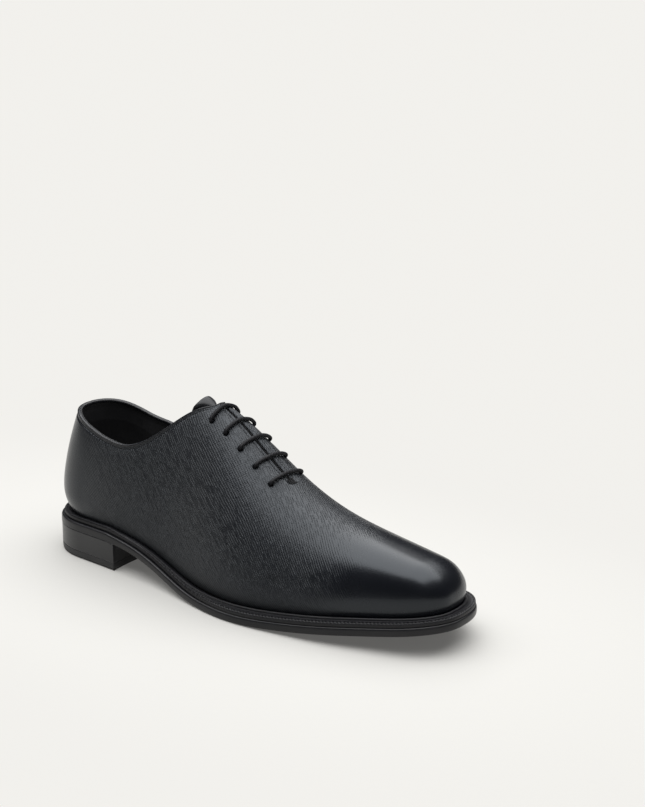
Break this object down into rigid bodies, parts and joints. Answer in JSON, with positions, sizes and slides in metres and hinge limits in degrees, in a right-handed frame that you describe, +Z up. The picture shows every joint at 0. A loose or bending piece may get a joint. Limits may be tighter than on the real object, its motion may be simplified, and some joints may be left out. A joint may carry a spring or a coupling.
{
  "type": "leather oxford shoe",
  "caption": "Right-foot plain leather oxford with closed lacing, storm welt, leather sole and low stacked heel; the foot goes in at the collar.",
  "frame": {"origin": "middle of the bottom of the shoe, on the ground", "axes": "+X from heel to toe, +Y towards the inner side of the foot, +Z up"},
  "size_m": [0.302, 0.0984, 0.1116],
  "materials": {
    "upper_leather": "fine embossed grain, satin, smoother and glossier over the toe",
    "edge_leather": "folded leather edge, satin",
    "tongue_leather": "smooth leather with raw layered edge",
    "lining_textile": "close woven drill",
    "lining_leather": "smooth matt lining leather",
    "stiffener_board": "impregnated stiffener",
    "stay_tape": "woven reinforcing tape",
    "eyelet_metal": "small blind eyelets",
    "waxed_cord": "round braided, waxed",
    "tip_plastic": "clear black acetate tip",
    "thread": "twisted polyester thread",
    "insole_fibre": "leather insole board",
    "pad_foam": "latex foam",
    "shank_steel": "ribbed spring steel",
    "cork": "granular cork and glue",
    "welt_leather": "waxed and wheeled",
    "sole_edge": "inked, burnished edge",
    "heel_stack": "inked, burnished, satin",
    "top_piece_rubber": "matt rubber",
    "nail_steel": "ribbed heel nails"
  },
  "bodies": {
    "shoe": {"wholecut_upper": "upper_leather", "vamp_lining": "lining_textile", "quarter_lining": "lining_leather", "toe_puff": "stiffener_board", "heel_counter": "stiffener_board", "topline_binding": "edge_leather", "heel_tab": "upper_leather", "bar_tack": "thread", "facing_stay_outer": "stay_tape", "facing_stay_inner": "stay_tape", "blind_eyelets_outer": "eyelet_metal", "blind_eyelets_inner": "eyelet_metal", "lace": "waxed_cord", "lace_tips": "tip_plastic", "insole_board": "insole_fibre", "heel_pad": "pad_foam", "sock_liner": "lining_leather", "shank": "shank_steel", "forefoot_filler": "cork", "welt": "welt_leather", "welt_stitching": "thread", "outsole": "sole_edge", "heel_block": "heel_stack", "heel_top_piece": "top_piece_rubber", "heel_nails": "nail_steel"},
    "tongue": {"tongue": "tongue_leather", "tongue_lining": "lining_leather"}
  },
  "joints": [
    {"name": "tongue_hinge", "type": "hinge", "parent": "shoe", "child": "tongue", "pos_m": [0.045, 0, 0.063], "axis": [0, -1, 0], "range_deg": [0, 12], "stiffness_Nm_per_rad": 0.05, "springref_deg": -5.73}
  ]
}
